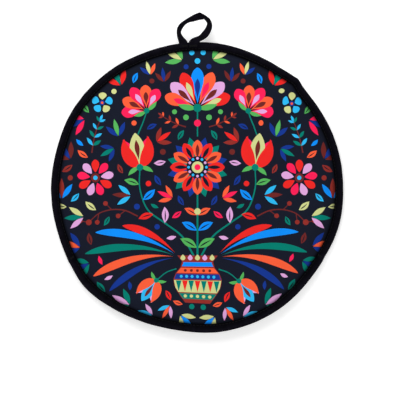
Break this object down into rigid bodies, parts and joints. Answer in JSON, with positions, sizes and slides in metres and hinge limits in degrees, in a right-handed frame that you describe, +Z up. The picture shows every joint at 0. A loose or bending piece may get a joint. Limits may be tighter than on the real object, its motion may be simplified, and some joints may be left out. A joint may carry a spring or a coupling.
{
  "type": "tortilla warmer",
  "caption": "Round flat padded cloth pouch with a bound edge, a gaping mouth that lifts open along its front and a small tape loop at the back of the rim.",
  "frame": {"origin": "centre of the flat underside, which lies on the table", "axes": "+Z up out of the printed upper panel, +Y towards the hanging loop, -Y out of the mouth, +X to the right when seen from above with the loop at the top"},
  "size_m": [0.3048, 0.3351, 0.0228],
  "materials": {
    "printed_cover": "matt printed woven polyester",
    "wadding": "lofty white fibre wadding",
    "lining": "natural unbleached cotton",
    "binding_tape": "matt black woven tape",
    "thread": "polyester sewing thread"
  },
  "bodies": {
    "pouch": {"lower_cover": "printed_cover", "lower_wadding": "wadding", "lower_lining": "lining", "upper_cover": "printed_cover", "upper_wadding": "wadding", "upper_lining": "lining", "seam_binding": "binding_tape", "seam_stitching": "thread", "lower_lip_binding": "binding_tape", "lower_lip_stitching": "thread", "mouth_bar_tacks": "thread", "loop_ends": "binding_tape", "loop_bar_tacks": "thread"},
    "mouth_flap": {"flap_cover": "printed_cover", "flap_wadding": "wadding", "flap_lining": "lining", "upper_lip_binding": "binding_tape", "upper_lip_stitching": "thread"},
    "loop": {"hanging_loop": "binding_tape"}
  },
  "joints": [
    {"name": "mouth_open", "type": "hinge", "parent": "pouch", "child": "mouth_flap", "pos_m": [0, -0.0762, 0.0204], "axis": [-1, 0, 0], "range_deg": [-6, 75], "stiffness_Nm_per_rad": 0.2},
    {"name": "loop_swing", "type": "hinge", "parent": "pouch", "child": "loop", "pos_m": [0, 0.15335, 0.0108], "axis": [1, 0, 0], "range_deg": [-15, 95], "stiffness_Nm_per_rad": 0.002}
  ]
}
